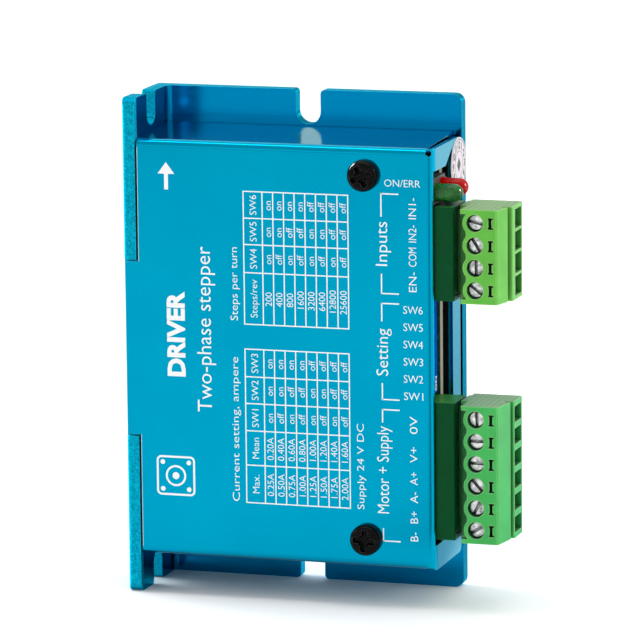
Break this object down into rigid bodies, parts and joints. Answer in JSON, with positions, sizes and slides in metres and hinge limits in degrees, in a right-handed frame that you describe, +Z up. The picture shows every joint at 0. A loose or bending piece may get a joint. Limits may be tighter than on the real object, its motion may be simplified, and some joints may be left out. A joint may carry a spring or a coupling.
{
  "type": "stepper motor driver module",
  "caption": "Small motor driver: L-shaped slotted heatsink, folded sheet cover, circuit board, pluggable screw terminals and a slide-switch block.",
  "frame": {"origin": "centre of the flat back face that is screwed to a panel", "axes": "+Z up the long side, +X towards the connectors, +Y out of the back mounting face (the printed front faces -Y)"},
  "size_m": [0.068, 0.0219, 0.086],
  "materials": {
    "heatsink_blue": "blue anodised, gloss",
    "cover_blue": "satin blue with white print",
    "black_steel": "black oxide",
    "brass_post": "turned",
    "zinc_steel": "zinc plated",
    "board": "green solder mask, beige edge",
    "black_film": "matte film",
    "pad_grey": "matte",
    "copper_tab": "tinned copper",
    "chip_black": "moulded epoxy",
    "tin": "tinned",
    "can_aluminium": "bright drawn",
    "base_black": "moulded",
    "resistor_dark": "glazed",
    "ferrite": "matte",
    "switch_blue": "moulded",
    "lamp_green": "diffused epoxy",
    "lamp_red": "diffused epoxy",
    "spacer_grey": "moulded",
    "seal_paper": "paper",
    "knob_white": "moulded",
    "header_green": "moulded, dark green",
    "tinned_brass": "tin plated",
    "signal_plug_green": "moulded, yellow-green",
    "nickel": "nickel plated",
    "power_plug_green": "moulded, green"
  },
  "bodies": {
    "driver": {"heatsink": "heatsink_blue", "cover": "cover_blue", "cover_screws": "black_steel", "lower_posts": "brass_post", "upper_posts": "brass_post", "board_screws": "zinc_steel", "circuit_board": "board", "insulating_sheet": "black_film", "thermal_pad": "pad_grey", "driver_chip_tab": "copper_tab", "driver_chip_body": "chip_black", "driver_chip_leads": "tin", "driver_chip_screws": "zinc_steel", "chip_packages": "chip_black", "chip_leads": "tin", "capacitor_cans": "can_aluminium", "capacitor_bases": "base_black", "resistors": "resistor_dark", "inductor": "ferrite", "dip_switch_body": "switch_blue", "dip_switch_pins": "tin", "lamp_green": "lamp_green", "lamp_red": "lamp_red", "lamp_leads": "tin", "lamp_spacer": "spacer_grey", "seam_seal": "seal_paper", "signal_header": "header_green", "signal_header_pins": "tinned_brass", "power_header": "header_green", "power_header_pins": "tinned_brass"},
    "signal_plug": {"signal_plug": "signal_plug_green", "signal_contacts": "tinned_brass"},
    "signal_screw_1": {"signal_screw_1": "nickel"},
    "signal_clamp_1": {"signal_clamp_1": "tinned_brass"},
    "signal_screw_2": {"signal_screw_2": "nickel"},
    "signal_clamp_2": {"signal_clamp_2": "tinned_brass"},
    "signal_screw_3": {"signal_screw_3": "nickel"},
    "signal_clamp_3": {"signal_clamp_3": "tinned_brass"},
    "signal_screw_4": {"signal_screw_4": "nickel"},
    "signal_clamp_4": {"signal_clamp_4": "tinned_brass"},
    "power_plug": {"power_plug": "power_plug_green", "power_contacts": "tinned_brass"},
    "power_screw_1": {"power_screw_1": "nickel"},
    "power_clamp_1": {"power_clamp_1": "tinned_brass"},
    "power_screw_2": {"power_screw_2": "nickel"},
    "power_clamp_2": {"power_clamp_2": "tinned_brass"},
    "power_screw_3": {"power_screw_3": "nickel"},
    "power_clamp_3": {"power_clamp_3": "tinned_brass"},
    "power_screw_4": {"power_screw_4": "nickel"},
    "power_clamp_4": {"power_clamp_4": "tinned_brass"},
    "power_screw_5": {"power_screw_5": "nickel"},
    "power_clamp_5": {"power_clamp_5": "tinned_brass"},
    "power_screw_6": {"power_screw_6": "nickel"},
    "power_clamp_6": {"power_clamp_6": "tinned_brass"},
    "dip_knob_1": {"dip_knob_1": "knob_white"},
    "dip_knob_2": {"dip_knob_2": "knob_white"},
    "dip_knob_3": {"dip_knob_3": "knob_white"},
    "dip_knob_4": {"dip_knob_4": "knob_white"},
    "dip_knob_5": {"dip_knob_5": "knob_white"},
    "dip_knob_6": {"dip_knob_6": "knob_white"}
  },
  "joints": [
    {"name": "signal_plug_pull", "type": "slide", "parent": "driver", "child": "signal_plug", "axis": [1, 0, 0], "range_m": [0, 0.01]},
    {"name": "signal_screw_1_turn", "type": "hinge", "parent": "signal_plug", "child": "signal_screw_1", "pos_m": [0.03493, -0.019, 0.02397], "axis": [0, 1, 0], "range_deg": [0, 1800]},
    {"name": "signal_clamp_1_rise", "type": "slide", "parent": "signal_plug", "child": "signal_clamp_1", "axis": [0, -1, 0], "range_m": [0, 0.002]},
    {"name": "signal_screw_2_turn", "type": "hinge", "parent": "signal_plug", "child": "signal_screw_2", "pos_m": [0.03493, -0.019, 0.02016], "axis": [0, 1, 0], "range_deg": [0, 1800]},
    {"name": "signal_clamp_2_rise", "type": "slide", "parent": "signal_plug", "child": "signal_clamp_2", "axis": [0, -1, 0], "range_m": [0, 0.002]},
    {"name": "signal_screw_3_turn", "type": "hinge", "parent": "signal_plug", "child": "signal_screw_3", "pos_m": [0.03493, -0.019, 0.01636], "axis": [0, 1, 0], "range_deg": [0, 1800]},
    {"name": "signal_clamp_3_rise", "type": "slide", "parent": "signal_plug", "child": "signal_clamp_3", "axis": [0, -1, 0], "range_m": [0, 0.002]},
    {"name": "signal_screw_4_turn", "type": "hinge", "parent": "signal_plug", "child": "signal_screw_4", "pos_m": [0.03493, -0.019, 0.01255], "axis": [0, 1, 0], "range_deg": [0, 1800]},
    {"name": "signal_clamp_4_rise", "type": "slide", "parent": "signal_plug", "child": "signal_clamp_4", "axis": [0, -1, 0], "range_m": [0, 0.002]},
    {"name": "power_plug_pull", "type": "slide", "parent": "driver", "child": "power_plug", "axis": [1, 0, 0], "range_m": [0, 0.01]},
    {"name": "power_screw_1_turn", "type": "hinge", "parent": "power_plug", "child": "power_screw_1", "pos_m": [0.03493, -0.019, -0.00951], "axis": [0, 1, 0], "range_deg": [0, 1800]},
    {"name": "power_clamp_1_rise", "type": "slide", "parent": "power_plug", "child": "power_clamp_1", "axis": [0, -1, 0], "range_m": [0, 0.002]},
    {"name": "power_screw_2_turn", "type": "hinge", "parent": "power_plug", "child": "power_screw_2", "pos_m": [0.03493, -0.019, -0.01333], "axis": [0, 1, 0], "range_deg": [0, 1800]},
    {"name": "power_clamp_2_rise", "type": "slide", "parent": "power_plug", "child": "power_clamp_2", "axis": [0, -1, 0], "range_m": [0, 0.002]},
    {"name": "power_screw_3_turn", "type": "hinge", "parent": "power_plug", "child": "power_screw_3", "pos_m": [0.03493, -0.019, -0.01714], "axis": [0, 1, 0], "range_deg": [0, 1800]},
    {"name": "power_clamp_3_rise", "type": "slide", "parent": "power_plug", "child": "power_clamp_3", "axis": [0, -1, 0], "range_m": [0, 0.002]},
    {"name": "power_screw_4_turn", "type": "hinge", "parent": "power_plug", "child": "power_screw_4", "pos_m": [0.03493, -0.019, -0.02094], "axis": [0, 1, 0], "range_deg": [0, 1800]},
    {"name": "power_clamp_4_rise", "type": "slide", "parent": "power_plug", "child": "power_clamp_4", "axis": [0, -1, 0], "range_m": [0, 0.002]},
    {"name": "power_screw_5_turn", "type": "hinge", "parent": "power_plug", "child": "power_screw_5", "pos_m": [0.03493, -0.019, -0.02475], "axis": [0, 1, 0], "range_deg": [0, 1800]},
    {"name": "power_clamp_5_rise", "type": "slide", "parent": "power_plug", "child": "power_clamp_5", "axis": [0, -1, 0], "range_m": [0, 0.002]},
    {"name": "power_screw_6_turn", "type": "hinge", "parent": "power_plug", "child": "power_screw_6", "pos_m": [0.03493, -0.019, -0.02857], "axis": [0, 1, 0], "range_deg": [0, 1800]},
    {"name": "power_clamp_6_rise", "type": "slide", "parent": "power_plug", "child": "power_clamp_6", "axis": [0, -1, 0], "range_m": [0, 0.002]},
    {"name": "dip_knob_1_slide", "type": "slide", "parent": "driver", "child": "dip_knob_1", "axis": [0, 1, 0], "range_m": [0, 0.0012]},
    {"name": "dip_knob_2_slide", "type": "slide", "parent": "driver", "child": "dip_knob_2", "axis": [0, 1, 0], "range_m": [0, 0.0012]},
    {"name": "dip_knob_3_slide", "type": "slide", "parent": "driver", "child": "dip_knob_3", "axis": [0, 1, 0], "range_m": [0, 0.0012]},
    {"name": "dip_knob_4_slide", "type": "slide", "parent": "driver", "child": "dip_knob_4", "axis": [0, 1, 0], "range_m": [0, 0.0012]},
    {"name": "dip_knob_5_slide", "type": "slide", "parent": "driver", "child": "dip_knob_5", "axis": [0, 1, 0], "range_m": [0, 0.0012]},
    {"name": "dip_knob_6_slide", "type": "slide", "parent": "driver", "child": "dip_knob_6", "axis": [0, 1, 0], "range_m": [0, 0.0012]}
  ],
  "couplings": [
    {"joint": "signal_screw_1_turn", "follows": "signal_clamp_1_rise", "rad_per_m": 15708},
    {"joint": "signal_screw_2_turn", "follows": "signal_clamp_2_rise", "rad_per_m": 15708},
    {"joint": "signal_screw_3_turn", "follows": "signal_clamp_3_rise", "rad_per_m": 15708},
    {"joint": "signal_screw_4_turn", "follows": "signal_clamp_4_rise", "rad_per_m": 15708},
    {"joint": "power_screw_1_turn", "follows": "power_clamp_1_rise", "rad_per_m": 15708},
    {"joint": "power_screw_2_turn", "follows": "power_clamp_2_rise", "rad_per_m": 15708},
    {"joint": "power_screw_3_turn", "follows": "power_clamp_3_rise", "rad_per_m": 15708},
    {"joint": "power_screw_4_turn", "follows": "power_clamp_4_rise", "rad_per_m": 15708},
    {"joint": "power_screw_5_turn", "follows": "power_clamp_5_rise", "rad_per_m": 15708},
    {"joint": "power_screw_6_turn", "follows": "power_clamp_6_rise", "rad_per_m": 15708}
  ]
}
